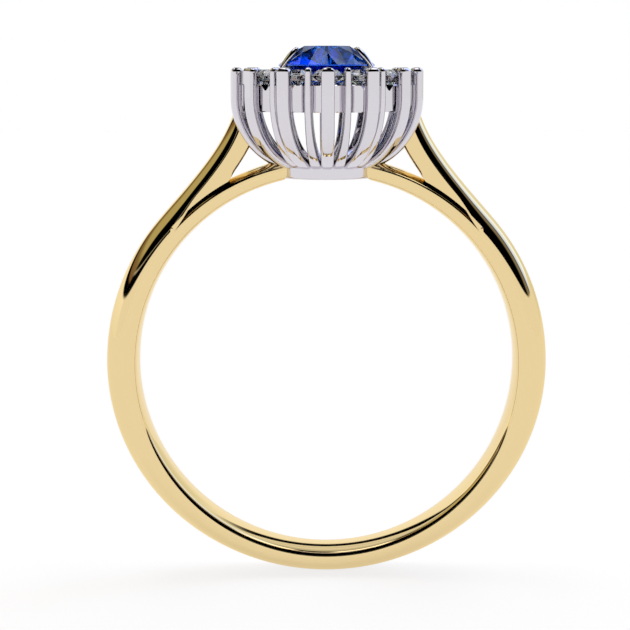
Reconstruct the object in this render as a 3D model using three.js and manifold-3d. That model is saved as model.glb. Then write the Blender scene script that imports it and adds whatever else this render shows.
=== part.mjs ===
// A cluster engagement ring: an oval sapphire in a halo of fourteen diamonds, on a white gold head
// that stands on a yellow gold hoop with raised shoulders.
// Millimetres. The origin is the centre of the finger hole, +Y is the finger's axis and +Z points
// to the stones.
import * as THREE from "three";
import { mergeVertices } from "three/addons/utils/BufferGeometryUtils.js";
import Module from "manifold-3d";

const wasm = await Module();
wasm.setup();

// Driving dimensions.
const GAP = 0.03; // between pieces that are soldered or set against each other

const HOLE_RADIUS = 8.5; // finger hole
const HOOP_WIDTH = 2.6; // along the finger
const HOOP_SIDE_THICKNESS = 1.48;
const HOOP_FOOT_THICKNESS = 1.12; // at the bottom of the hoop
const HOOP_ARCH = 0.9; // height of the arched outside at the hoop's sides
const UNDER_RAIL_THICKNESS = 0.9;
const UNDER_RAIL_ARCH = 0.32;
const SPLIT_ANGLE = THREE.MathUtils.degToRad(50); // from +Z, where the shoulders leave the hoop
const SHOULDER_THICKNESS = 1.27; // from the window to the outside
const SHOULDER_ARCH = 0.75;
const SHOULDER_TOP_WIDTH = 1.9; // along the finger; the shoulders start as wide as the hoop
const SHOULDER_FLANK = [[6.36, 7.95], [4.45, 9.86], [4.1, 11.6]]; // bends of its outside, [x, z]

const HEAD_RADIUS = 4.33; // outer face of the claws, across the finger
const HEAD_STRETCH = 1.13; // the head is longer along the finger
const HALO_COUNT = 14;
const CLAW_DEPTH = 0.44; // radial
const CLAW_WIDTH = 0.58;
const JUNCTION_CLAW_WIDTH = 0.29;
const JUNCTION_INSET = 0.6; // the narrow claws stand further in than the wide ones
const CLAW_TIP_HEIGHT = 13.3;
const CLAW_FOOT_TAPER = 0.7; // width at the collar over width at the top
const CLAW_TAPER_RADIUS = 3; // the taper ends here
const BOWL_HEIGHT = 12.0; // above this the claws stand straight up
const BOWL_FOOT_HEIGHT = 8.74;
const BOWL_FOOT_RADIUS = 1.36;

const COLLAR_RADIUS = 2.2;
const COLLAR_BOTTOM = 8.4;
const COLLAR_TOP = 9.25;
const COLLAR_CHAMFER = 0.12;

const GALLERY_BOTTOM = 11.38;
const GALLERY_TOP = 12.56;
const GALLERY_BORE_RADIUS = 2.3; // opening in the middle of the gallery, across the finger
const CUP_RADIUS = 0.81; // lobe of the gallery under each diamond
const CLAW_CLEARANCE = 0.08; // from the gallery to the claws, which lean inwards below it

const DIAMOND_RADIUS = 0.7;
const DIAMOND_TABLE_HEIGHT = 13.2;
const DIAMOND_GIRDLE_THICKNESS = 0.04;
const DIAMOND_CROWN = 0.3; // these three are shares of the diamond's radius
const DIAMOND_PAVILION = 0.88;
const DIAMOND_TABLE = 0.56;

const SAPPHIRE_HALF_WIDTH = 2.15;
const SAPPHIRE_STRETCH = 1.25; // the stone is longer along the finger
const SAPPHIRE_TABLE_HEIGHT = 14.24;
const SAPPHIRE_GIRDLE_HEIGHT = 13.42;
const SAPPHIRE_CULET_HEIGHT = 11.8;
const SAPPHIRE_GIRDLE_THICKNESS = 0.05;
const SAPPHIRE_TABLE = 0.5; // share of the stone's half width
const SAPPHIRE_CROWN_BREAK = [0.82, 13.9]; // share of the half width, height
const SAPPHIRE_PAVILION_BREAK = [0.62, 12.65];
const CENTRE_CLAW_RADIUS = 0.16;
const CENTRE_CLAW_REACH = 2.34; // from the ring's axis to a centre claw, across the finger
const CENTRE_CLAW_LEAN = THREE.MathUtils.degToRad(8); // its tip turns this far towards the stone's ends
const CENTRE_CLAW_FOOT = 11.68;
const CENTRE_CLAW_TIP_REACH = 1.66;
const CENTRE_CLAW_TIP_HEIGHT = 14.15;
const CENTRE_STRETCH = 1.21; // of the oval that the centre claws and the seat follow
const SEAT_INNER_RADIUS = 1.76;
const SEAT_BOTTOM = 12.7;
const SEAT_TOP = 12.95;

const BAND_SEGMENTS = 112; // around the finger
const HEAD_SEGMENTS = 64; // around the head
const BORE_SEGMENTS = 48; // around the gallery's opening and the seat
const CUP_SEGMENTS = 28;
const DIAMOND_SEGMENTS = 16;
const SAPPHIRE_SEGMENTS = 24;

const { cos, sin, PI } = Math;

// Materials.
const surface = (color, roughness, metalness) => () =>
  new THREE.MeshStandardMaterial({ color, roughness, metalness });
const yellowGold = surface(0xe7d09e, 0.15, 1);
const whiteGold = surface(0xd8d5dd, 0.12, 1);
const diamond = surface(0xeef2f8, 0.02, 0);
const blueSapphire = surface(0x1430b4, 0.02, 0);

// A geometry as a closed solid for boolean work.
function solid(geometry) {
  const bare = geometry.index ? geometry.toNonIndexed() : geometry.clone();
  bare.deleteAttribute("normal");
  bare.deleteAttribute("uv");
  const merged = mergeVertices(bare, 1e-4);
  const mesh = new wasm.Mesh({
    numProp: 3,
    vertProperties: merged.attributes.position.array,
    triVerts: new Uint32Array(merged.index.array),
  });
  return new wasm.Manifold(mesh);
}

function geometryOf(manifold) {
  const mesh = manifold.getMesh();
  const indexed = new THREE.BufferGeometry();
  indexed.setAttribute("position", new THREE.BufferAttribute(mesh.vertProperties, 3));
  indexed.setIndex(new THREE.BufferAttribute(mesh.triVerts, 1));
  const geometry = indexed.toNonIndexed();
  geometry.computeVertexNormals();
  return geometry;
}

// Move every vertex of a geometry.
function reshape(geometry, move) {
  const position = geometry.attributes.position;
  const point = new THREE.Vector3();
  for (let i = 0; i < position.count; i++) {
    point.fromBufferAttribute(position, i);
    move(point);
    position.setXYZ(i, point.x, point.y, point.z);
  }
  return geometry;
}

// A plate from an outline in the XZ plane, centred on that plane and of the given width along Y.
function plate(outline, width) {
  const shape = new THREE.Shape(outline);
  const geometry = new THREE.ExtrudeGeometry(shape, { depth: width, bevelEnabled: false });
  geometry.translate(0, 0, -width / 2);
  geometry.rotateX(PI / 2);
  return geometry;
}

// A profile of radius and height turned around +Z and stretched along the finger.
function turned(profile, segments, stretch) {
  const points = profile.map(([radius, height]) => new THREE.Vector2(radius, height));
  const geometry = new THREE.LatheGeometry(points, segments);
  geometry.rotateX(PI / 2);
  geometry.scale(1, stretch, 1);
  return geometry;
}

// A point of the XZ plane at an angle from +Z towards +X.
const polar = (radius, angle) => new THREE.Vector2(radius * sin(angle), radius * cos(angle));

// The cross-section of a band as points across and outwards: flat inside, upright sides, arched outside.
function bandSection(thickness, arch) {
  const half = HOOP_WIDTH / 2;
  const archSteps = 12;
  const points = [new THREE.Vector2(-half, 0)];
  for (let i = 0; i <= archSteps; i++) {
    const turn = (PI * i) / archSteps;
    points.push(new THREE.Vector2(-half * cos(turn), thickness - arch + arch * sin(turn)));
  }
  points.push(new THREE.Vector2(half, 0));
  return points;
}

// A band around the finger.
function band(thickness, arch) {
  const section = bandSection(thickness, arch);
  const profile = section.map((point) => new THREE.Vector2(HOLE_RADIUS + point.y, point.x));
  profile.push(profile[0].clone());
  return new THREE.LatheGeometry(profile, BAND_SEGMENTS);
}

// A wedge around the finger between two angles from +Z, used as a cutter.
function sector(from, to) {
  const reach = 16;
  const steps = 12;
  const outline = [new THREE.Vector2(0, 0)];
  for (let i = 0; i <= steps; i++) {
    outline.push(polar(reach, THREE.MathUtils.lerp(from, to, i / steps)));
  }
  return solid(plate(outline, 2 * HOOP_WIDTH));
}

// The hoop from shoulder to shoulder around the bottom, where it is thinnest.
function shankHoop() {
  const ring = reshape(band(HOOP_SIDE_THICKNESS, HOOP_ARCH), (p) => {
    const radius = Math.hypot(p.x, p.z);
    const below = Math.max(0, -p.z / radius);
    const thickness = THREE.MathUtils.lerp(HOOP_SIDE_THICKNESS, HOOP_FOOT_THICKNESS, below ** 2);
    const slimmed = HOLE_RADIUS + ((radius - HOLE_RADIUS) * thickness) / HOOP_SIDE_THICKNESS;
    p.x *= slimmed / radius;
    p.z *= slimmed / radius;
  });
  const end = SPLIT_ANGLE + GAP / HOLE_RADIUS;
  return geometryOf(solid(ring).intersect(sector(end, 2 * PI - end)));
}

// The inner arm that carries the hoop's circle on to the collar.
function underRail(side) {
  const arm = solid(band(UNDER_RAIL_THICKNESS, UNDER_RAIL_ARCH));
  const wedge = side > 0 ? sector(0, SPLIT_ANGLE) : sector(-SPLIT_ANGLE, 0);
  return geometryOf(arm.intersect(wedge).subtract(collar(GAP, BOWL_HEIGHT)).subtract(bowl()));
}

// The outer arm that leaves the hoop and rises to the side of the head.
function shoulderRail(side) {
  const hoopOutside = polar(HOLE_RADIUS + HOOP_SIDE_THICKNESS, SPLIT_ANGLE);
  const flank = new THREE.CubicBezierCurve3(
    new THREE.Vector3(hoopOutside.x, 0, hoopOutside.y),
    ...SHOULDER_FLANK.map(([x, z]) => new THREE.Vector3(x, 0, z)),
  );
  const section = bandSection(SHOULDER_THICKNESS, SHOULDER_ARCH);
  for (const point of section) point.y -= SHOULDER_THICKNESS;
  const sweep = new THREE.ExtrudeGeometry(new THREE.Shape(section), { steps: 18, extrudePath: flank });
  const foot = hoopOutside.y;
  const arm = reshape(sweep, (p) => {
    const rise = THREE.MathUtils.smoothstep(p.z, foot, BOWL_HEIGHT);
    p.y *= THREE.MathUtils.lerp(1, SHOULDER_TOP_WIDTH / HOOP_WIDTH, rise);
  });
  if (side < 0) arm.rotateZ(PI);
  const seamRadius = HOLE_RADIUS + UNDER_RAIL_THICKNESS + GAP;
  const seam = new THREE.CylinderGeometry(seamRadius, seamRadius, 2 * HOOP_WIDTH, BAND_SEGMENTS);
  return geometryOf(solid(arm).subtract(solid(seam)).subtract(bowl()));
}

// The side view of the claws' faces: a quarter ellipse up from the foot, as [radius, height] points.
function bowlCurve(radius, lift) {
  const steps = 16;
  const points = [];
  for (let i = 0; i <= steps; i++) {
    const turn = (PI / 2) * (i / steps);
    const out = BOWL_FOOT_RADIUS + (radius - BOWL_FOOT_RADIUS) * sin(turn);
    points.push([out, BOWL_HEIGHT - (BOWL_HEIGHT - BOWL_FOOT_HEIGHT - lift) * cos(turn)]);
  }
  return points;
}

// Everything inside the claws' outer faces, used to cut the shoulders to fit.
function bowl() {
  const reach = HEAD_RADIUS + GAP;
  const profile = [[0, BOWL_FOOT_HEIGHT - GAP], ...bowlCurve(reach, -GAP)];
  profile.push([reach, CLAW_TIP_HEIGHT], [0, CLAW_TIP_HEIGHT]);
  return solid(turned(profile, HEAD_SEGMENTS, HEAD_STRETCH));
}

// The drum that the claws stand on, grown by a clearance where it is used as a cutter.
function collar(clearance, top = COLLAR_TOP) {
  const radius = COLLAR_RADIUS + clearance;
  const bottom = COLLAR_BOTTOM - clearance;
  const profile = [
    [0, bottom],
    [radius - COLLAR_CHAMFER, bottom],
    [radius, bottom + COLLAR_CHAMFER],
    [radius, top],
    [0, top],
  ];
  return solid(turned(profile, HEAD_SEGMENTS, 1));
}

// Angles that space a count of pieces evenly along the head's oval; 0 is the -Y end.
function ovalAngles(count, offset) {
  const samples = 1440;
  const lengths = [0];
  for (let i = 1; i <= samples; i++) {
    const middle = (2 * PI * (i - 0.5)) / samples;
    lengths.push(lengths[i - 1] + Math.hypot(cos(middle), HEAD_STRETCH * sin(middle)));
  }
  const angles = [];
  for (let k = 0; k < count; k++) {
    const wanted = (lengths[samples] * (k + offset)) / count;
    angles.push((2 * PI * lengths.findIndex((length) => length > wanted - 1e-6)) / samples);
  }
  return angles;
}

const cupAngles = ovalAngles(HALO_COUNT, 0);
const junctionAngles = ovalAngles(HALO_COUNT, 0.5);

// The outline of a claw in the plane of the head's radius, with a rounded tip.
function clawOutline(inset) {
  const outerRadius = HEAD_RADIUS - inset;
  const tipRadius = CLAW_DEPTH / 2;
  const tipSteps = 6;
  const tip = [];
  for (let i = 0; i <= tipSteps; i++) {
    const turn = (PI * i) / tipSteps;
    const height = CLAW_TIP_HEIGHT - tipRadius + tipRadius * sin(turn);
    tip.push([outerRadius - tipRadius + tipRadius * cos(turn), height]);
  }
  const inner = bowlCurve(outerRadius - CLAW_DEPTH, CLAW_DEPTH).reverse();
  return [...bowlCurve(outerRadius, 0), ...tip, ...inner].map(([x, z]) => new THREE.Vector2(x, z));
}

// Stand a piece made along +X at an angle of the oval.
function placed(geometry, angle) {
  const stretch = Math.hypot(sin(angle), HEAD_STRETCH * cos(angle));
  reshape(geometry, (p) => {
    p.x *= stretch;
  });
  return geometry.rotateZ(Math.atan2(-HEAD_STRETCH * cos(angle), sin(angle)));
}

// A claw that stands on the collar and narrows towards it.
function haloClaw(width, inset, angle) {
  const claw = reshape(plate(clawOutline(inset), width), (p) => {
    const grown = THREE.MathUtils.smoothstep(p.x, BOWL_FOOT_RADIUS, CLAW_TAPER_RADIUS);
    p.y *= THREE.MathUtils.lerp(CLAW_FOOT_TAPER, 1, grown);
  });
  return solid(placed(claw, angle)).subtract(collar(GAP));
}

// Centre of the gallery's cup at an angle, and of the diamond above it.
function cupCentre(angle) {
  const claw = new THREE.Vector2(sin(angle), -HEAD_STRETCH * cos(angle));
  claw.multiplyScalar(HEAD_RADIUS - CLAW_DEPTH);
  return claw.setLength(claw.length() - CUP_RADIUS - CLAW_CLEARANCE);
}

// A round brilliant at a cup, grown by a clearance where it is used as a cutter.
function haloStone(angle, clearance) {
  const radius = DIAMOND_RADIUS + clearance;
  const girdleTop = DIAMOND_TABLE_HEIGHT - DIAMOND_CROWN * DIAMOND_RADIUS + clearance;
  const girdleBottom = girdleTop - DIAMOND_GIRDLE_THICKNESS - 2 * clearance;
  const culet = girdleBottom - DIAMOND_PAVILION * radius;
  const profile = [
    [0, culet],
    [radius, girdleBottom],
    [radius, girdleTop],
    [DIAMOND_TABLE * radius, DIAMOND_TABLE_HEIGHT + clearance],
    [0, DIAMOND_TABLE_HEIGHT + clearance],
  ];
  const centre = cupCentre(angle);
  return solid(turned(profile, DIAMOND_SEGMENTS, 1).translate(centre.x, centre.y, 0));
}

// The scalloped band that carries the diamonds, slotted for the narrow claws.
function galleryRail(centreClaws) {
  const height = GALLERY_TOP - GALLERY_BOTTOM;
  const middle = (GALLERY_TOP + GALLERY_BOTTOM) / 2;
  const ringRadius = HEAD_RADIUS - CLAW_DEPTH - CUP_RADIUS - CLAW_CLEARANCE;
  const profile = [
    [0, GALLERY_BOTTOM],
    [ringRadius, GALLERY_BOTTOM],
    [ringRadius, GALLERY_TOP],
    [0, GALLERY_TOP],
  ];
  let rail = solid(turned(profile, HEAD_SEGMENTS, HEAD_STRETCH));
  for (const angle of cupAngles) {
    const cup = new THREE.CylinderGeometry(CUP_RADIUS, CUP_RADIUS, height, CUP_SEGMENTS);
    const centre = cupCentre(angle);
    rail = rail.add(solid(cup.rotateX(PI / 2).translate(centre.x, centre.y, middle)));
  }
  const boreRadius = GALLERY_BORE_RADIUS;
  const bore = new THREE.CylinderGeometry(boreRadius, boreRadius, 2 * height, BORE_SEGMENTS);
  rail = rail.subtract(solid(bore.rotateX(PI / 2).scale(1, HEAD_STRETCH, 1).translate(0, 0, middle)));
  for (const angle of cupAngles) rail = rail.subtract(haloStone(angle, GAP));
  for (const angle of junctionAngles) {
    const inner = HEAD_RADIUS - JUNCTION_INSET - CLAW_DEPTH - CLAW_CLEARANCE;
    const length = HEAD_RADIUS - inner;
    const slot = new THREE.BoxGeometry(length, JUNCTION_CLAW_WIDTH + 2 * GAP, 2 * height);
    rail = rail.subtract(solid(placed(slot.translate(inner + length / 2, 0, middle), angle)));
  }
  for (const claw of centreClaws) rail = rail.subtract(claw);
  return geometryOf(rail);
}

// A round claw that rises inside the gallery and hooks over the sapphire's crown.
// side is its half of the ring along X and end its half along Y, each 1 or -1.
function centreClaw([side, end], clearance) {
  const radius = CENTRE_CLAW_RADIUS + clearance;
  // Each stop is the reach, the height and the share of the lean.
  const route = [
    [CENTRE_CLAW_REACH, CENTRE_CLAW_FOOT - clearance, 0],
    [CENTRE_CLAW_REACH, GALLERY_TOP, 0],
    [CENTRE_CLAW_REACH, CLAW_TIP_HEIGHT, 0.25],
    [CENTRE_CLAW_REACH - 0.1, 13.66, 0.6],
    [1.95, 13.97, 0.9],
    [CENTRE_CLAW_TIP_REACH, CENTRE_CLAW_TIP_HEIGHT, 1],
  ];
  const points = route.map(([out, z, lean]) => {
    const angle = junctionAngles[2] - lean * CENTRE_CLAW_LEAN;
    return new THREE.Vector3(side * out * sin(angle), end * out * CENTRE_STRETCH * cos(angle), z);
  });
  const section = new THREE.Shape().absarc(0, 0, radius, 0, 2 * PI);
  const path = new THREE.CatmullRomCurve3(points);
  return solid(new THREE.ExtrudeGeometry(section, { steps: 20, curveSegments: 5, extrudePath: path }));
}

// The open oval that the sapphire's pavilion sits in.
function centreSeat() {
  const outer = CENTRE_CLAW_REACH - CENTRE_CLAW_RADIUS - GAP;
  const profile = [
    [SEAT_INNER_RADIUS, SEAT_BOTTOM],
    [outer, SEAT_BOTTOM],
    [outer, SEAT_TOP],
    [SEAT_INNER_RADIUS, SEAT_TOP],
    [SEAT_INNER_RADIUS, SEAT_BOTTOM],
  ];
  return turned(profile, BORE_SEGMENTS, CENTRE_STRETCH);
}

// An oval brilliant cut: table, crown, girdle and pavilion.
function centreStone() {
  const [crownShare, crownHeight] = SAPPHIRE_CROWN_BREAK;
  const [pavilionShare, pavilionHeight] = SAPPHIRE_PAVILION_BREAK;
  const profile = [
    [0, SAPPHIRE_CULET_HEIGHT],
    [pavilionShare * SAPPHIRE_HALF_WIDTH, pavilionHeight],
    [SAPPHIRE_HALF_WIDTH, SAPPHIRE_GIRDLE_HEIGHT - SAPPHIRE_GIRDLE_THICKNESS],
    [SAPPHIRE_HALF_WIDTH, SAPPHIRE_GIRDLE_HEIGHT],
    [crownShare * SAPPHIRE_HALF_WIDTH, crownHeight],
    [SAPPHIRE_TABLE * SAPPHIRE_HALF_WIDTH, SAPPHIRE_TABLE_HEIGHT],
    [0, SAPPHIRE_TABLE_HEIGHT],
  ];
  return turned(profile, SAPPHIRE_SEGMENTS, SAPPHIRE_STRETCH);
}

const ring = new THREE.Group();

function addPiece(name, geometry, material) {
  const mesh = new THREE.Mesh(geometry, material);
  mesh.name = name;
  ring.add(mesh);
}

const number = (index) => String(index + 1).padStart(2, "0");

addPiece("shank_hoop", shankHoop(), yellowGold());
for (const [word, side] of [["left", -1], ["right", 1]]) {
  addPiece("under_rail_" + word, underRail(side), yellowGold());
  addPiece("shoulder_rail_" + word, shoulderRail(side), yellowGold());
}
addPiece("base_collar", geometryOf(collar(0)), whiteGold());

let stones = haloStone(cupAngles[0], GAP);
for (const angle of cupAngles.slice(1)) stones = stones.add(haloStone(angle, GAP));
cupAngles.forEach((angle, i) => {
  addPiece("halo_claw_" + number(i), geometryOf(haloClaw(CLAW_WIDTH, 0, angle)), whiteGold());
});
junctionAngles.forEach((angle, i) => {
  const claw = haloClaw(JUNCTION_CLAW_WIDTH, JUNCTION_INSET, angle).subtract(stones);
  addPiece("junction_claw_" + number(i), geometryOf(claw), whiteGold());
});
cupAngles.forEach((angle, i) => {
  addPiece("halo_diamond_" + number(i), geometryOf(haloStone(angle, 0)), diamond());
});

const centreClawPlaces = {
  front_left: [-1, -1],
  front_right: [1, -1],
  back_right: [1, 1],
  back_left: [-1, 1],
};
const clearedClaws = Object.values(centreClawPlaces).map((place) => centreClaw(place, GAP));
addPiece("gallery_rail", galleryRail(clearedClaws), whiteGold());
for (const [word, place] of Object.entries(centreClawPlaces)) {
  addPiece("centre_claw_" + word, geometryOf(centreClaw(place, 0)), whiteGold());
}
addPiece("centre_seat", centreSeat(), whiteGold());
addPiece("sapphire", centreStone(), blueSapphire());

export default ring;
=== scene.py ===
# Looks of the cluster engagement ring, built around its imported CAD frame.
# Metres, in the CAD frame: the origin is the finger hole's centre, +Y runs along the finger, and +Z
# points to the stones.
import math

import bmesh
import bpy
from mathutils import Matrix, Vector


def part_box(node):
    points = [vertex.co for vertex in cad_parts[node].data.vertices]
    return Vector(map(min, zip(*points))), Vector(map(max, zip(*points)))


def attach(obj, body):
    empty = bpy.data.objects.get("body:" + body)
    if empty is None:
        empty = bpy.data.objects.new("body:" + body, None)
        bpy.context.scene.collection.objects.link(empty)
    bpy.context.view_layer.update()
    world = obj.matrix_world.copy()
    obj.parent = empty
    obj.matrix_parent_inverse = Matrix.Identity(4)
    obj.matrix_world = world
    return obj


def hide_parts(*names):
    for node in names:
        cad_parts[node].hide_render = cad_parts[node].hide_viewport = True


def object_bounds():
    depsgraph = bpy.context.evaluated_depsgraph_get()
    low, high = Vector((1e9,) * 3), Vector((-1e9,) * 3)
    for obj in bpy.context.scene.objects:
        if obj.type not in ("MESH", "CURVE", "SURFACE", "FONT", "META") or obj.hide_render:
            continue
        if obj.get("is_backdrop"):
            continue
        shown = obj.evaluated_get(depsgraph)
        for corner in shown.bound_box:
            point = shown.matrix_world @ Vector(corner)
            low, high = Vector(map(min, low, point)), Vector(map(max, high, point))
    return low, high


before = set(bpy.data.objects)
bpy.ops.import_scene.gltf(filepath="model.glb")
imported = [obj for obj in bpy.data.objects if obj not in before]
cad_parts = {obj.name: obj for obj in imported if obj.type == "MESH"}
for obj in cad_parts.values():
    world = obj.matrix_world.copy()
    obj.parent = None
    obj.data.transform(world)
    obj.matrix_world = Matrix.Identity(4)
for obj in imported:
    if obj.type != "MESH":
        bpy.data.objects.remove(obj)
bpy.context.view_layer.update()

MM = 0.001
TAU = 2 * math.pi
CLAW_COUNT = 14


# ---- Sizes read from the frame -------------------------------------------------------------------------

def node_points(name):
    return [v.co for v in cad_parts[name].data.vertices]


def low(name):
    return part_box(name)[0]


def high(name):
    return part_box(name)[1]


HOLE_RADIUS = min(math.hypot(p.x, p.z) for p in node_points("shank_hoop"))
HOOP_HALF_WIDTH = high("shank_hoop").y
SIDE_RADIUS = high("shank_hoop").x
FOOT_RADIUS = -low("shank_hoop").z
RAIL_RADIUS = max(math.hypot(p.x, p.z) for p in node_points("under_rail_left"))
SPLIT_ANGLE = max(math.atan2(p.x, p.z) for p in node_points("under_rail_right"))
COLLAR_RADIUS = high("base_collar").x

TIP_HEIGHT = high("halo_claw_01").z
HEAD_LENGTH = -low("halo_claw_01").y
CLAW_WIDTH = high("halo_claw_01").x - low("halo_claw_01").x


# ---- Sizes chosen for the looks ------------------------------------------------------------------------

# Hoop and under rails.
HOOP_ARCH_SHARE = 0.6  # share of the hoop's thickness that its outside arches over
RAIL_ARCH = 0.32 * MM
INNER_CORNER = 0.24 * MM  # rounding between the band's inside and its upright sides
INNER_CROWN = 0.06 * MM  # how much further out the inside stands at its edges

# Shoulders. Shares are of the way along the outside curve, from the split to the claws.
SHOULDER_CURVE = [Vector((x, 0, z)) * MM for x, z in ((6.36, 7.95), (4.45, 9.86), (4.1, 11.6))]
SHOULDER_THICKNESS = 1.27 * MM
SHOULDER_ARCH = 0.62 * MM
ARCH_CHANGE_SHARE = 0.35  # by here the hoop's arch has become the shoulder's own
SHOULDER_TOP_HALF_WIDTH = 0.95 * MM
RAIL_END_SHARE = 0.8  # the shoulder has left the under rail for good by here
SEAT_ARCH = 0.3  # share of the under rail's arch that the underside follows where it lies on it
SEAT_CHANGE_SHARE = 0.06  # it follows the whole arch at the split, and only that share from here on
LIFT_OFF_GAP = 0.3 * MM  # the underside is flat once the gap to the under rail is this wide
UNDER_EDGE = 0.07 * MM  # rounding of the free underside at both edges
UNDER_EDGE_START = 0.9  # share of the half width at which that rounding starts
SHOULDER_SINK = 0.15 * MM  # into the claws it is soldered to

# Claws of the halo.
HEAD_STRETCH = 1.13  # length over width, as the head is longer along the finger
HEAD_RADIUS = HEAD_LENGTH / HEAD_STRETCH
BOWL_HEIGHT = 12 * MM  # above this the claws stand straight up
BOWL_FOOT_RADIUS = 1.36 * MM
BOWL_FOOT_HEIGHT = 8.74 * MM
CLAW_DEPTH = 0.44 * MM
CLAW_SQUARENESS = 4.2  # power of the superellipse that is a claw's section
NARROW_INSET = 0.6 * MM  # the narrow claws between the cups stand this much further in
NARROW_WIDTH = 0.29 * MM
FOOT_WIDTH = 0.54 * MM  # of every claw, wide or narrow
FOOT_WIDTH_RADIUS = 1.6 * MM  # nearer to the axis than this a claw has the foot's width
OWN_WIDTH_RADIUS = 4 * MM  # and further out than this its own
TOE_START = math.radians(12)
TOE_END = math.radians(18)
TOE_CLOSING = 0.97  # 1 would close the toe to a point
TOE_DEPTH = 0.4  # share of the depth that a closed toe would still have
UPRIGHT_STOP = 0.6  # one more section at this share of the upright part
TIP_LENGTH = 0.2 * MM
TIP_POWER = 2.4
TIP_CLOSING = 0.985

# Collar, gallery, seat and the centre claws.
COLLAR_EDGE = 0.1 * MM
CUP_RADIUS = 0.81 * MM
BORE_RADIUS = 2.35 * MM
GALLERY_CHAMFER = 0.04 * MM
GALLERY_LIP = 0.14 * MM  # the gallery's flat top starts this far in
NOTCH_HALF_WIDTH = 0.17 * MM
NOTCH_DEPTH = 0.26 * MM
NOTCH_TURN = 0.815  # share of its cup's angle at which a notch stands
SEAT_BORE_RADIUS = 1.76 * MM
PRONG_RADIUS = 0.155 * MM
PRONG_FLATNESS = 0.85
PRONG_SQUARENESS = 2.3
END_SLICE = 0.15 * MM  # the points this near to a centre claw's lower or upper end give its foot or tip
# Stops of a centre claw above its foot: the share of the way from the CAD piece's foot to its tip as seen
# from above, the bulge towards the stone's end in mm, the height in mm, and the thickness as a share.
PRONG_ROUTE = [
    (0, 0, 12.6, 1), (0.14, 0.1, 13.0, 1), (0.35, 0.2, 13.3, 1), (0.57, 0.26, 13.55, 1.02),
    (0.85, 0.25, 13.8, 1.05), (1.12, 0.14, 14.0, 1), (1.33, 0.02, 14.1, 0.85), (1.46, -0.06, 14.12, 0.35),
]

# Stones. The crown's middle corners stand at shares of the way out from the table's edge and up from the
# girdle, the pavilion's at shares of the way out from the axis and up from the culet.
DIAMOND_CROWN = 0.33  # this height and the girdle's are shares of the stone's radius
DIAMOND_GIRDLE = 0.05
DIAMOND_TABLE = 0.56
SAPPHIRE_GIRDLE = (13.37 * MM, 13.42 * MM)
SAPPHIRE_TABLE = 0.5
FACET_COUNT = 8
GIRDLE_CORNERS = 32
CROWN_OUT, CROWN_UP = 0.47, 0.62
PAVILION_OUT, PAVILION_UP = 0.24, 0.245
FLAT_ANGLE = math.radians(1.5)  # faces that meet flatter than this are one facet


# ---- Mesh helpers --------------------------------------------------------------------------------------

def add_object(name, data):
    thing = bpy.data.objects.new(name, data)
    bpy.context.scene.collection.objects.link(thing)
    return thing


def make_object(name, vertices, faces, smooth=True):
    """A mesh with its faces turned outwards."""
    mesh = bpy.data.meshes.new(name)
    mesh.from_pydata([tuple(v) for v in vertices], [], faces)
    mesh.update()
    build = bmesh.new()
    build.from_mesh(mesh)
    bmesh.ops.recalc_face_normals(build, faces=build.faces)
    build.to_mesh(mesh)
    build.free()
    mesh.polygons.foreach_set("use_smooth", [smooth] * len(mesh.polygons))
    return add_object(name, mesh)


def sharpen(thing, degrees):
    """Flat across creases sharper than the angle, smooth elsewhere."""
    thing.data.set_sharp_from_angle(angle=math.radians(degrees))


def loft(name, rings, cyclic=False, crease=50):
    """A closed skin over rings of equally many points, with flat ends unless it is cyclic."""
    size = len(rings[0])
    vertices = [point for ring in rings for point in ring]
    faces = []
    last = len(rings) if cyclic else len(rings) - 1
    for i in range(last):
        here, there = i * size, ((i + 1) % len(rings)) * size
        for j in range(size):
            k = (j + 1) % size
            faces.append((here + j, here + k, there + k, there + j))
    if not cyclic:
        faces.append(tuple(range(size)))
        faces.append(tuple(range((len(rings) - 1) * size, len(rings) * size)))
    thing = make_object(name, vertices, faces)
    sharpen(thing, crease)
    return thing


def finish_piece(thing, material, slot, *nodes):
    """Give a piece its material, and let it stand for its CAD nodes on the ring's one body."""
    thing.data.materials.append(material)
    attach(thing, "root")
    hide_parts(*nodes)


def numbered(word, i):
    return "%s_%02d" % (word, i + 1)


def side_word(side):
    return "right" if side > 0 else "left"


def lerp(a, b, t):
    return a + (b - a) * t


def smoothstep(a, b, x):
    t = min(1, max(0, (x - a) / (b - a)))
    return t * t * (3 - 2 * t)


# ---- Shader helpers ------------------------------------------------------------------------------------

def new_material(name):
    material = bpy.data.materials.new(name)
    material.use_nodes = True
    nodes = material.node_tree.nodes
    return material, nodes, material.node_tree.links, nodes["Principled BSDF"]


def grey(value):
    return (value, value, value)


def ramp_of(nodes, links, source, stops):
    """A colour ramp over a 0 to 1 value; stops are (position, (r, g, b))."""
    ramp = nodes.new("ShaderNodeValToRGB")
    for position, _ in stops[1:-1]:
        ramp.color_ramp.elements.new(position)
    for element, (position, colour) in zip(ramp.color_ramp.elements, stops):
        element.position = position
        element.color = (*colour, 1)
    links.new(source, ramp.inputs["Fac"])
    return ramp.outputs["Color"]


def map_range(nodes, links, source, start, end, to=(0, 1), kind="LINEAR"):
    node = nodes.new("ShaderNodeMapRange")
    node.interpolation_type = kind
    node.inputs["From Min"].default_value = start
    node.inputs["From Max"].default_value = end
    node.inputs["To Min"].default_value = to[0]
    node.inputs["To Max"].default_value = to[1]
    links.new(source, node.inputs["Value"])
    return node.outputs["Result"]


def mixed(nodes, links, factor, a, b):
    """A colour mix; a and b are sockets or plain (r, g, b)."""
    node = nodes.new("ShaderNodeMix")
    node.data_type = "RGBA"
    links.new(factor, node.inputs["Factor"])
    for value, socket in ((a, node.inputs["A"]), (b, node.inputs["B"])):
        if isinstance(value, tuple):
            socket.default_value = (*value, 1)
        else:
            links.new(value, socket)
    return node.outputs["Result"]


# ---- Materials -----------------------------------------------------------------------------------------

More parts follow.
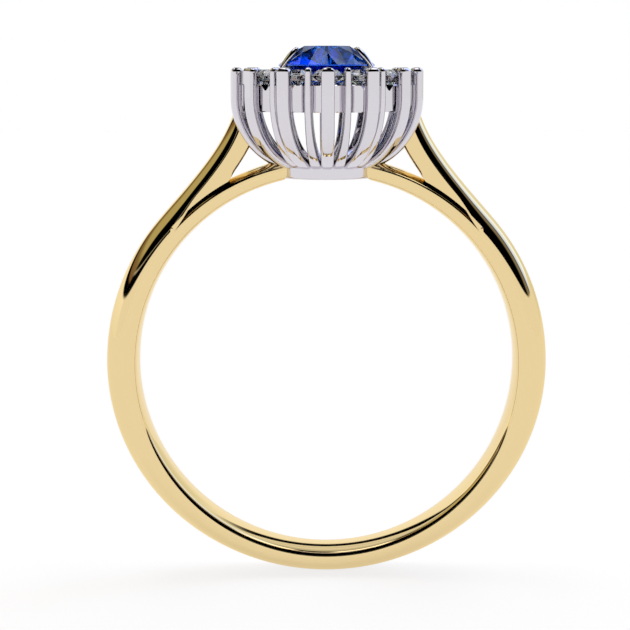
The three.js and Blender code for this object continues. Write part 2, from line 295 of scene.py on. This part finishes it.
CLOUD_SCALE = 900
WAVE_SCALE = 400
FACET_CELL_SCALE = 7000
POLISH = 0.03
DULLEST = 1.8  # times as rough as the polish


def polished_metal(name, colour, tint, edge):
    """High polish with faint buffing waves and slightly uneven colour and gloss."""
    material, nodes, links, shader = new_material(name)
    shader.inputs["Metallic"].default_value = 1.0
    shader.inputs["Specular Tint"].default_value = (*edge, 1)
    place = nodes.new("ShaderNodeTexCoord")
    cloud = nodes.new("ShaderNodeTexNoise")
    cloud.inputs["Scale"].default_value = CLOUD_SCALE
    cloud.inputs["Detail"].default_value = 3
    links.new(place.outputs["Object"], cloud.inputs["Vector"])
    colours = ramp_of(nodes, links, cloud.outputs["Fac"], [(0, colour), (1, tint)])
    links.new(colours, shader.inputs["Base Color"])
    gloss = map_range(nodes, links, cloud.outputs["Fac"], 0, 1, (POLISH, POLISH * DULLEST))
    links.new(gloss, shader.inputs["Roughness"])
    waves = nodes.new("ShaderNodeTexNoise")
    waves.inputs["Scale"].default_value = WAVE_SCALE
    links.new(place.outputs["Object"], waves.inputs["Vector"])
    bump = nodes.new("ShaderNodeBump")
    bump.inputs["Strength"].default_value = 0.05
    bump.inputs["Distance"].default_value = 0.01 * MM
    links.new(waves.outputs["Fac"], bump.inputs["Height"])
    links.new(bump.outputs["Normal"], shader.inputs["Normal"])
    return material


def gemstone(name, tints, index, gleam):
    """Clear cut stone with small cells of tint, and gleam as the colour of its reflections. In the
    diamond the cells are painted fire, flashes of split light painted into its colour; in the sapphire
    they are its own two blues.
    """
    material, nodes, links, shader = new_material(name)
    place = nodes.new("ShaderNodeTexCoord")
    cells = nodes.new("ShaderNodeTexVoronoi")
    cells.inputs["Scale"].default_value = FACET_CELL_SCALE
    links.new(place.outputs["Object"], cells.inputs["Vector"])
    links.new(ramp_of(nodes, links, cells.outputs["Color"], tints), shader.inputs["Base Color"])
    shader.inputs["Roughness"].default_value = 0.0
    shader.inputs["IOR"].default_value = index
    shader.inputs["Specular Tint"].default_value = (*gleam, 1)
    shader.inputs["Transmission Weight"].default_value = 1.0
    return material


def deepen(material, colour, density):
    """Make a clear material's colour deeper the longer the light's path through it."""
    nodes = material.node_tree.nodes
    depth = nodes.new("ShaderNodeVolumeAbsorption")
    depth.inputs["Color"].default_value = (*colour, 1)
    depth.inputs["Density"].default_value = density
    material.node_tree.links.new(depth.outputs["Volume"], nodes["Material Output"].inputs["Volume"])


# Tints of the small cells in the stones: painted fire in the diamonds, flashes of split light painted as
# coloured cells, and two blues of the sapphire's own colour in the sapphire.
PAINTED_FIRE = [
    (0, grey(1)), (0.25, (1, 0.7, 0.65)), (0.4, grey(1)), (0.52, (0.6, 0.75, 1)),
    (0.64, grey(1)), (0.8, (0.7, 1, 0.75)), (1, grey(0.7)),
]
BLUES = [(0, (0.3, 0.7, 1)), (1, (0.25, 0.62, 1))]
DIAMOND_INDEX = 2.42
SAPPHIRE_INDEX = 1.77
SAPPHIRE_GLEAM = (0.25, 0.5, 1)
SAPPHIRE_DEPTH = (0, 0.6, 0.93)
SAPPHIRE_DENSITY = 1100

yellow_gold = polished_metal("yellow_gold", (0.84, 0.655, 0.345), (0.85, 0.67, 0.355), (1, 0.93, 0.75))
white_gold = polished_metal("white_gold", (0.70, 0.675, 0.72), (0.71, 0.685, 0.725), (0.95, 0.95, 0.97))
# The diamond's colour carries painted fire: coloured flashes of light painted into its cells.
diamond = gemstone("diamond", PAINTED_FIRE, DIAMOND_INDEX, grey(1))
sapphire_blue = gemstone("sapphire", BLUES, SAPPHIRE_INDEX, SAPPHIRE_GLEAM)
deepen(sapphire_blue, SAPPHIRE_DEPTH, SAPPHIRE_DENSITY)


# ---- Gold hoop, under rails and shoulders --------------------------------------------------------------

def inner_corner(half_width):
    """From an upright side of the band to its inside, as (across, outwards)."""
    steps = 4
    points = []
    for i in range(steps + 1):
        turn = math.pi / 2 * i / steps
        across = half_width - INNER_CORNER + INNER_CORNER * math.cos(turn)
        points.append((across, INNER_CROWN + INNER_CORNER * (1 - math.sin(turn))))
    return points


def band_section(thickness, half_width, edge):
    """Closed section as (across, outwards): crowned inside, upright sides up to edge, arched outside."""
    arch_steps, inside_steps = 40, 12
    corner = inner_corner(half_width)
    points = []
    for i in range(arch_steps + 1):
        turn = math.pi * i / arch_steps
        points.append((-half_width * math.cos(turn), edge + (thickness - edge) * math.sin(turn)))
    points += corner
    for i in range(1, inside_steps):
        share = 1 - 2 * i / inside_steps
        points.append(((half_width - INNER_CORNER) * share, INNER_CROWN * share ** 2))
    points += [(-across, out) for across, out in reversed(corner)]
    return points


def around_finger(angle, across, radius):
    """A point at an angle from +Z towards +X."""
    return Vector((radius * math.sin(angle), across, radius * math.cos(angle)))


def hoop():
    """The open hoop from one split to the other, its thickness changing from the sides to the foot."""
    rings = []
    steps = 220
    for i in range(steps + 1):
        angle = lerp(SPLIT_ANGLE, TAU - SPLIT_ANGLE, i / steps)
        below = max(0, -math.cos(angle))
        thickness = lerp(SIDE_RADIUS, FOOT_RADIUS, below ** 2) - HOLE_RADIUS
        section = band_section(thickness, HOOP_HALF_WIDTH, (1 - HOOP_ARCH_SHARE) * thickness)
        rings.append([around_finger(angle, across, HOLE_RADIUS + out) for across, out in section])
    return loft("hoop", rings)


def collar_edge(across):
    """How far out in X the collar's side stands at a place across the band."""
    return math.sqrt(COLLAR_RADIUS ** 2 - across ** 2)


def under_rail(side):
    """The hoop's inner part carried on to the collar, its end shaped to the collar's side."""
    rings = []
    steps = 70
    thickness = RAIL_RADIUS - HOLE_RADIUS
    section = band_section(thickness, HOOP_HALF_WIDTH, thickness - RAIL_ARCH)
    for i in range(steps + 1):
        ring = []
        for across, out in section:
            radius = HOLE_RADIUS + out
            end = math.asin(collar_edge(across) / radius)
            ring.append(around_finger(side * lerp(SPLIT_ANGLE, end, i / steps), across, radius))
        rings.append(ring)
    return loft("under_rail_" + side_word(side), rings)


def bezier(a, b, c, d, t):
    """A point of the cubic Bezier curve with these four control points."""
    u = 1 - t
    return a * u ** 3 + b * 3 * u * u * t + c * 3 * u * t * t + d * t ** 3


def bowl_radius(height):
    """Outside of the claws at a height, in the head's narrow direction."""
    share = min(1, max(0, (BOWL_HEIGHT - height) / (BOWL_HEIGHT - BOWL_FOOT_HEIGHT)))
    return BOWL_FOOT_RADIUS + (HEAD_RADIUS - BOWL_FOOT_RADIUS) * math.sqrt(1 - share * share)


def outside_bowl(point):
    """The point moved out in X until it is at most a little way into the claws."""
    reach = bowl_radius(point.z) - SHOULDER_SINK
    least = math.sqrt(max(0, reach ** 2 - (point.y / HEAD_STRETCH) ** 2))
    return Vector((max(point.x, least), point.y, point.z))


def shoulder_spine(t):
    """At a share of the outside curve: its point, the way inwards, and how far off the under rail is."""
    curve = [around_finger(SPLIT_ANGLE, 0, SIDE_RADIUS), *SHOULDER_CURVE]
    step = 1e-3
    crest = bezier(*curve, t)
    along = (bezier(*curve, t + step) - bezier(*curve, t - step)).normalized()
    inwards = Vector((-along.z, 0, along.x))
    middle = crest.dot(inwards)
    to_rail = -middle - math.sqrt(max(0, middle ** 2 - crest.length_squared + RAIL_RADIUS ** 2))
    return crest, inwards, to_rail


def shoulder_ring(t):
    """The section at a share of the outside curve, on the +X side: arched outside, then the underside."""
    crest, inwards, to_rail = shoulder_spine(t)
    on_rail = to_rail < SHOULDER_THICKNESS and t < RAIL_END_SHARE
    height = to_rail if on_rail else SHOULDER_THICKNESS
    half_width = lerp(HOOP_HALF_WIDTH, SHOULDER_TOP_HALF_WIDTH, smoothstep(0, 1, t))
    arch = lerp(height + RAIL_ARCH, SHOULDER_ARCH, smoothstep(0, ARCH_CHANGE_SHARE, t))
    free = 0 if on_rail else smoothstep(0, LIFT_OFF_GAP, abs(to_rail) - SHOULDER_THICKNESS)
    seated = (1 - free) * lerp(1, SEAT_ARCH, smoothstep(0, SEAT_CHANGE_SHARE, t))
    base = crest + inwards * height
    steps = 40
    ring = []
    for i in range(steps + 1):
        turn = math.pi * i / steps
        rise = height - arch + arch * math.sin(turn)
        ring.append(base - inwards * rise + Vector((0, -half_width * math.cos(turn), 0)))
    for i in range(steps + 1):
        across = half_width * math.cos(math.pi * i / steps)
        drop = seated * RAIL_ARCH * (1 - math.sqrt(max(0, 1 - (across / HOOP_HALF_WIDTH) ** 2)))
        edge = free * UNDER_EDGE * smoothstep(UNDER_EDGE_START, 1, abs(across) / half_width)
        ring.append(base - inwards * (edge - drop) + Vector((0, across, 0)))
    return ring


def shoulder(side):
    """The rail from the hoop up to the claws. It leaves the hoop flush and narrows on the way."""
    rings = []
    steps = 90
    for i in range(steps + 1):
        ring = map(outside_bowl, shoulder_ring(i / steps))
        rings.append([Vector((side * p.x, p.y, p.z)) for p in ring])
    return loft("shoulder_" + side_word(side), rings)


# ---- White gold head -----------------------------------------------------------------------------------

def bowl_point(radius, lift, turn):
    """A point of the claws' side view as (radius, height): 0 is the foot, 90 degrees the upright part."""
    out = BOWL_FOOT_RADIUS + (radius - BOWL_FOOT_RADIUS) * math.sin(turn)
    return out, BOWL_HEIGHT - (BOWL_HEIGHT - BOWL_FOOT_HEIGHT - lift) * math.cos(turn)


def oval_angles(count, offset):
    """Evenly spaced stations along the head's oval; 0 is its -Y end."""
    samples = 1440
    tolerance = 1e-6
    lengths = [0.0]
    for i in range(samples):
        middle = TAU * (i + 0.5) / samples
        lengths.append(lengths[-1] + math.hypot(math.cos(middle), HEAD_STRETCH * math.sin(middle)))
    angles = []
    for k in range(count):
        wanted = lengths[-1] * (k + offset) / count
        station = next(i for i, length in enumerate(lengths) if length > wanted - tolerance)
        angles.append(TAU * station / samples)
    return angles


CUP_ANGLES = oval_angles(CLAW_COUNT, 0)
JUNCTION_ANGLES = oval_angles(CLAW_COUNT, 0.5)


def oval_frame(angle):
    """Unit direction from the head's axis to a station, and how much further out the oval lies there."""
    spoke = Vector((math.sin(angle), -HEAD_STRETCH * math.cos(angle), 0))
    return spoke.normalized(), spoke.length


def bulged(value, power):
    """A sine or cosine pushed away from 0, as a superellipse of this power does."""
    return math.copysign(abs(value) ** (2 / power), value)


def rounded_section(half_width, half_depth, power, steps=28):
    """A superellipse as (across, outwards): power 2 is an ellipse, and a higher one is squarer."""
    points = []
    for i in range(steps):
        turn = TAU * i / steps
        across = bulged(math.cos(turn), power) * half_width
        points.append((across, bulged(math.sin(turn), power) * half_depth))
    return points


def claw_stations(width, inset):
    """From toe to tip: radius and height of the claw's middle line, half its width and half its depth."""
    half_depth = CLAW_DEPTH / 2
    radius = HEAD_RADIUS - inset - half_depth
    toe_steps, bowl_steps, tip_steps = 6, 26, 7
    turns = [lerp(TOE_START, TOE_END, i / toe_steps) for i in range(toe_steps)]
    turns += [lerp(TOE_END, math.pi / 2, i / bowl_steps) for i in range(bowl_steps + 1)]
    stations = []
    for turn in turns:
        out, height = bowl_point(radius, half_depth, turn)
        toe = min(1, (turn - TOE_START) / (TOE_END - TOE_START))
        grown = math.sqrt(1 - (1 - toe) ** 2 * TOE_CLOSING)
        spread = lerp(FOOT_WIDTH, width, smoothstep(FOOT_WIDTH_RADIUS, OWN_WIDTH_RADIUS, out))
        stations.append((out, height, spread / 2 * grown, half_depth * lerp(TOE_DEPTH, 1, grown)))
    tip_base = TIP_HEIGHT - TIP_LENGTH
    stations.append((radius, lerp(BOWL_HEIGHT, tip_base, UPRIGHT_STOP), width / 2, half_depth))
    for i in range(tip_steps + 1):
        rise = math.sin(math.pi / 2 * i / tip_steps)
        shrink = math.sqrt(1 - rise ** TIP_POWER * TIP_CLOSING)
        stations.append((radius, tip_base + TIP_LENGTH * rise, width / 2 * shrink, half_depth * shrink))
    return stations


def claw(name, width, inset, angle):
    """A claw from a rounded toe on the collar, up the bowl, to a rounded tip."""
    spoke, stretch = oval_frame(angle)
    sideways = Vector((-spoke.y, spoke.x, 0))
    stations = claw_stations(width, inset)
    rings = []
    for i, (out, height, half_width, half_depth) in enumerate(stations):
        before, after = stations[max(0, i - 1)], stations[min(len(stations) - 1, i + 1)]
        along = Vector((after[0] - before[0], after[1] - before[1])).normalized()
        ring = []
        for across, depth in rounded_section(half_width, half_depth, CLAW_SQUARENESS):
            radius = (out + along.y * depth) * stretch
            ring.append(spoke * radius + sideways * across + Vector((0, 0, height - along.x * depth)))
        rings.append(ring)
    return loft(name, rings)


def turned(name, profile, crease, stretch=1, closed=False):
    """A profile of (radius, height) turned around Z: an open ring if it is closed, else solid."""
    segments = 96
    rings = []
    for radius, height in profile:
        ring = []
        for i in range(segments):
            turn = TAU * i / segments
            ring.append(Vector((radius * math.sin(turn), -radius * stretch * math.cos(turn), height)))
        rings.append(ring)
    return loft(name, rings, cyclic=closed, crease=crease)


def collar():
    """The disc under the claws, its lower edge rounded and its upper one bevelled."""
    bottom, top = low("base_collar").z, high("base_collar").z
    inner = COLLAR_RADIUS - COLLAR_EDGE
    steps = 4
    profile = []
    for i in range(steps + 1):
        turn = math.pi / 2 * i / steps
        out, up = math.sin(turn), 1 - math.cos(turn)
        profile.append((inner + COLLAR_EDGE * out, bottom + COLLAR_EDGE * up))
    profile += [(COLLAR_RADIUS, top - COLLAR_EDGE), (inner, top)]
    return turned("collar", profile, crease=40)


def notch_angles():
    """Angles of the gallery's V notches: the front ones follow its cups, the back ones mirror them."""
    front = []
    for angle in CUP_ANGLES:
        if angle < math.pi / 2:
            front += [NOTCH_TURN * angle, -NOTCH_TURN * angle]
    return front + [math.pi - angle for angle in front]


def cup_reach(ray, centres):
    """How far out the furthest cup stands in a direction."""
    reach = 0
    for centre in centres:
        along = centre.dot(ray)
        aside = (centre - ray * along).length
        if along > 0 and aside < CUP_RADIUS:
            reach = max(reach, along + math.sqrt(CUP_RADIUS ** 2 - aside ** 2))
    return reach


def gallery():
    """The scalloped band under the diamonds: a round cup for each, with V notches in the upper edge."""
    bottom, top = low("gallery_rail").z, high("gallery_rail").z
    boxes = [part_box(numbered("halo_diamond", i)) for i in range(CLAW_COUNT)]
    centres = [((lo + hi) / 2).to_2d() for lo, hi in boxes]
    notches = notch_angles()
    steps = CLAW_COUNT * 40
    rings = []
    for i in range(steps):
        turn = TAU * i / steps
        ray = Vector((math.sin(turn), -math.cos(turn)))
        reach = cup_reach(ray, centres)
        aside = min(abs(math.remainder(turn - angle, TAU)) for angle in notches) * reach
        lip = top - NOTCH_DEPTH * max(0, 1 - aside / NOTCH_HALF_WIDTH)
        hole = Vector((ray.x, HEAD_STRETCH * ray.y)) * BORE_RADIUS
        edge, eased, flat = (ray * (reach - inset) for inset in (0, GALLERY_CHAMFER, GALLERY_LIP))
        section = [
            (eased, bottom), (edge, bottom + GALLERY_CHAMFER), (edge, lip - GALLERY_CHAMFER),
            (eased, lip), (flat, top), (hole, top), (hole, bottom),
        ]
        rings.append([Vector((place.x, place.y, z)) for place, z in section])
    return loft("gallery", rings, cyclic=True, crease=30)


def middle_of(points):
    return sum(points, Vector()) / len(points)


def centre_claw(word):
    """A round claw that rises beside the sapphire and hooks over its crown."""
    node = "centre_claw_" + word
    bottom, top = low(node).z, high(node).z
    foot = middle_of([p for p in node_points(node) if p.z < bottom + END_SLICE])
    tip = middle_of([p for p in node_points(node) if p.z > top - END_SLICE])
    end = math.copysign(1, foot.y)
    route = [(0, 0, bottom / MM, 1), *PRONG_ROUTE]
    points = []
    for share, bulge, height, _ in route:
        across, along = lerp(foot.x, tip.x, share), lerp(foot.y, tip.y, share)
        points.append(Vector((across, along + end * bulge * MM, height * MM)))
    rings = []
    for i, point in enumerate(points):
        along = (points[min(i + 1, len(points) - 1)] - points[max(i - 1, 0)]).normalized()
        aside = along.cross(Vector((foot.x, foot.y, 0))).normalized()
        outwards = aside.cross(along)
        radius = PRONG_RADIUS * route[i][3]
        section = rounded_section(radius, radius * PRONG_FLATNESS, PRONG_SQUARENESS, 16)
        rings.append([point + aside * across + outwards * out for across, out in section])
    piece = loft("prong_" + word, rings)
    rounder = piece.modifiers.new("round", "SUBSURF")
    rounder.levels = rounder.render_levels = 2
    return piece


def centre_seat():
    """The plain oval ring that the sapphire stands in."""
    lo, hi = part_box("centre_seat")
    profile = [(SEAT_BORE_RADIUS, lo.z), (hi.x, lo.z), (hi.x, hi.z), (SEAT_BORE_RADIUS, hi.z)]
    return turned("seat", profile, crease=30, stretch=hi.y / hi.x, closed=True)


# ---- Stones --------------------------------------------------------------------------------------------

def brilliant(name, centre, half_size, heights, table, rotation=0.0):
    """A brilliant cut, the hull of its facet corners. heights: culet, girdle's bottom and top, table."""
    culet, girdle_low, girdle_high, top = heights
    build = bmesh.new()

    def corner(share, turn, z):
        x = centre.x + half_size.x * share * math.sin(turn + rotation)
        y = centre.y + half_size.y * share * math.cos(turn + rotation)
        build.verts.new((x, y, z))

    for k in range(FACET_COUNT):
        main, half = TAU * k / FACET_COUNT, TAU * (k + 0.5) / FACET_COUNT
        corner(table, half, top)
        corner(lerp(table, 1, CROWN_OUT), main, lerp(girdle_high, top, CROWN_UP))
        corner(PAVILION_OUT, half, lerp(culet, girdle_low, PAVILION_UP))
    for k in range(GIRDLE_CORNERS):
        turn = TAU * k / GIRDLE_CORNERS
        corner(1, turn, girdle_high)
        corner(1, turn, girdle_low)
    corner(0, 0, culet)
    bmesh.ops.convex_hull(build, input=build.verts)
    bmesh.ops.dissolve_limit(build, angle_limit=FLAT_ANGLE, verts=build.verts, edges=build.edges)
    mesh = bpy.data.meshes.new(name)
    build.to_mesh(mesh)
    build.free()
    return add_object(name, mesh)


def halo_diamond(i):
    lo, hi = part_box(numbered("halo_diamond", i))
    radius = (hi.x - lo.x) / 2
    girdle = hi.z - DIAMOND_CROWN * radius
    heights = (lo.z, girdle - DIAMOND_GIRDLE * radius, girdle, hi.z)
    name = numbered("diamond", i)
    half_size = Vector((radius, radius))
    return brilliant(name, (lo + hi) / 2, half_size, heights, DIAMOND_TABLE, CUP_ANGLES[i])


def centre_stone():
    lo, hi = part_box("sapphire")
    heights = (lo.z, *SAPPHIRE_GIRDLE, hi.z)
    return brilliant("centre_sapphire", (lo + hi) / 2, Vector((hi.x, hi.y)), heights, SAPPHIRE_TABLE)


# ---- Assemble ------------------------------------------------------------------------------------------

finish_piece(hoop(), yellow_gold, "yellow_gold", "shank_hoop")
for side in (-1, 1):
    finish_piece(under_rail(side), yellow_gold, "yellow_gold", "under_rail_" + side_word(side))
    finish_piece(shoulder(side), yellow_gold, "yellow_gold", "shoulder_rail_" + side_word(side))
finish_piece(collar(), white_gold, "white_gold", "base_collar")
finish_piece(gallery(), white_gold, "white_gold", "gallery_rail")
finish_piece(centre_seat(), white_gold, "white_gold", "centre_seat")
for i in range(CLAW_COUNT):
    wide = claw(numbered("claw", i), CLAW_WIDTH, 0, CUP_ANGLES[i])
    finish_piece(wide, white_gold, "white_gold", numbered("halo_claw", i))
    narrow = claw(numbered("narrow_claw", i), NARROW_WIDTH, NARROW_INSET, JUNCTION_ANGLES[i])
    finish_piece(narrow, white_gold, "white_gold", numbered("junction_claw", i))
    finish_piece(halo_diamond(i), diamond, "diamond", numbered("halo_diamond", i))
for word in ("front_left", "front_right", "back_left", "back_right"):
    finish_piece(centre_claw(word), white_gold, "white_gold", "centre_claw_" + word)
finish_piece(centre_stone(), sapphire_blue, "sapphire", "sapphire")


# ---- Stage ---------------------------------------------------------------------------------------------

FLOOR_HALF_SIZE = 0.6
FLOOR_GREY = 0.4
FLOOR_GLOW_COLOUR = (0.99, 0.98, 0.975)
FLOOR_GLOW = (0.81, 0.85)  # strength in reflections, and as the camera sees it


def floor():
    """A grey floor that glows, so that it meets the white backdrop without a line."""
    size = FLOOR_HALF_SIZE
    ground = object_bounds()[0].z
    corners = [(-size, -size, ground), (size, -size, ground), (size, size, ground), (-size, size, ground)]
    plane = make_object("floor", corners, [(0, 1, 2, 3)], smooth=False)
    material, nodes, links, shader = new_material("floor")
    shader.inputs["Base Color"].default_value = (*grey(FLOOR_GREY), 1)
    shader.inputs["Roughness"].default_value = 1.0
    shader.inputs["Specular IOR Level"].default_value = 0.0
    shader.inputs["Emission Color"].default_value = (*FLOOR_GLOW_COLOUR, 1)
    seen = nodes.new("ShaderNodeLightPath")
    glow = map_range(nodes, links, seen.outputs["Is Camera Ray"], 0, 1, FLOOR_GLOW)
    # Light that has already been scattered once finds no glow, which keeps the shadow under the hoop.
    direct = map_range(nodes, links, seen.outputs["Diffuse Depth"], 1, 0)
    strength = nodes.new("ShaderNodeMath")
    strength.operation = "MULTIPLY"
    links.new(glow, strength.inputs[0])
    links.new(direct, strength.inputs[1])
    links.new(strength.outputs["Value"], shader.inputs["Emission Strength"])
    plane.data.materials.append(material)
    plane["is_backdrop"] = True


# The studio's walls, as the colour at each height: 0 is the horizon and 1 is straight up.
FRONT_WALL = [
    (0, grey(0.95)), (0.17, grey(0.95)), (0.19, grey(0)), (0.29, grey(0)), (0.31, grey(0.5)),
    (0.33, grey(0)), (1, grey(0)),
]
BACK_WALL = [
    (0, grey(1)), (0.24, grey(1.05)), (0.26, grey(0)), (0.325, grey(0)), (0.34, grey(1)),
    (0.37, grey(0.7)), (0.41, grey(0.9)), (0.46, grey(0.6)), (0.7, grey(0.5)), (0.76, grey(0)),
]
BACK_LEFT_WALL = [
    (0, grey(1)), (0.17, grey(1.1)), (0.19, grey(0)), (0.25, grey(0)), (0.27, (0.2, 0.12, 0.06)),
    (0.35, (0.25, 0.19, 0.09)), (0.42, (0.5, 0.45, 0.24)), (0.75, (0.55, 0.5, 0.3)), (0.8, grey(0)),
]
# The wall on the right, as the colour at each depth: 0 is towards the front and 1 is straight back.
DEPTH_RANGE = (-0.4, 1)  # the same two ends as parts of a direction along Y
RIGHT_WALL_LOW = [(0, grey(0.95)), (0.7, grey(0.95)), (0.85, (0.8, 0.83, 0.76)), (1, (0.8, 0.83, 0.76))]
RIGHT_WALL_HIGH = [
    (0, grey(0)), (0.22, grey(0)), (0.27, (0.15, 0.15, 0.13)), (0.36, (0.28, 0.25, 0.2)),
    (0.43, (0.28, 0.25, 0.2)), (0.46, (0.05, 0.1, 0.25)), (0.51, (0.05, 0.1, 0.25)),
    (0.54, (0.74, 0.95, 1.67)), (0.66, (0.94, 1.17, 1.97)), (0.76, (1.15, 1.44, 2.3)),
    (0.82, (0.87, 0.95, 1)), (1, (0.87, 0.9, 0.9)),
]
# Two lamps overhead, as the colour from far left, 0, to far right, 1.
LAMP = grey(1.8)
CEILING = [
    (0, grey(0)), (0.3, grey(0)), (0.33, LAMP), (0.47, LAMP), (0.5, grey(0)),
    (0.58, grey(0)), (0.61, LAMP), (0.76, LAMP), (0.8, grey(0)),
]

# Where one wall gives way to the next, as parts of a direction along X, Y or Z.
LEFT_EDGE = (-0.42, -0.52)
BACK_EDGE = (-0.12, 0)
RIGHT_EDGE = (0.2, 0.35)
RIGHT_STEP = (0.17, 0.19)  # in height, from the right wall's low part to its high part
CEILING_EDGE = (0.78, 0.84)


def studio():
    """White up to just above the horizon; higher up it is dark in front and lit behind and on top.

    The camera itself sees plain white.
    """
    world = bpy.data.worlds.new("studio")
    bpy.context.scene.world = world
    world.use_nodes = True
    nodes, links = world.node_tree.nodes, world.node_tree.links
    place = nodes.new("ShaderNodeTexCoord")
    parts = nodes.new("ShaderNodeSeparateXYZ")
    links.new(place.outputs["Generated"], parts.inputs["Vector"])

    def past(axis, start, end):
        """Goes smoothly from 0 to 1 as the direction's part along the axis goes from start to end."""
        return map_range(nodes, links, parts.outputs[axis], start, end, kind="SMOOTHSTEP")

    def painted(source, stops):
        return ramp_of(nodes, links, source, stops)

    def blend(factor, a, b):
        return mixed(nodes, links, factor, a, b)

    height = parts.outputs["Z"]
    depth = map_range(nodes, links, parts.outputs["Y"], *DEPTH_RANGE)
    across = map_range(nodes, links, parts.outputs["X"], -1, 1)
    behind = past("Y", *BACK_EDGE)
    back = blend(past("X", *LEFT_EDGE), painted(height, BACK_WALL), painted(height, BACK_LEFT_WALL))
    right = blend(past("Z", *RIGHT_STEP), painted(depth, RIGHT_WALL_LOW), painted(depth, RIGHT_WALL_HIGH))
    around = blend(behind, painted(height, FRONT_WALL), back)
    around = blend(past("X", *RIGHT_EDGE), around, right)
    ceiling = blend(behind, grey(0), painted(across, CEILING))
    around = blend(past("Z", *CEILING_EDGE), around, ceiling)
    seen = nodes.new("ShaderNodeLightPath")
    colour = blend(seen.outputs["Is Camera Ray"], around, grey(1))
    links.new(colour, nodes["Background"].inputs["Color"])


SENSOR_WIDTH = 36
FOCAL_LENGTH = 107.96
CAMERA_PLACE = (-0.95 * MM, -85 * MM, TIP_HEIGHT)
CAMERA_DOWN = math.radians(7.47)
CAMERA_RIGHT = math.radians(0.287)


def camera():
    lens = bpy.data.cameras.new("camera")
    thing = add_object("camera", lens)
    bpy.context.scene.camera = thing
    lens.sensor_width = SENSOR_WIDTH
    lens.lens = FOCAL_LENGTH
    lens.clip_start = 1 * MM
    thing.location = CAMERA_PLACE
    thing.rotation_euler = (math.pi / 2 - CAMERA_DOWN, 0, -CAMERA_RIGHT)


floor()
studio()
camera()
bpy.context.scene.view_settings.view_transform = "Standard"
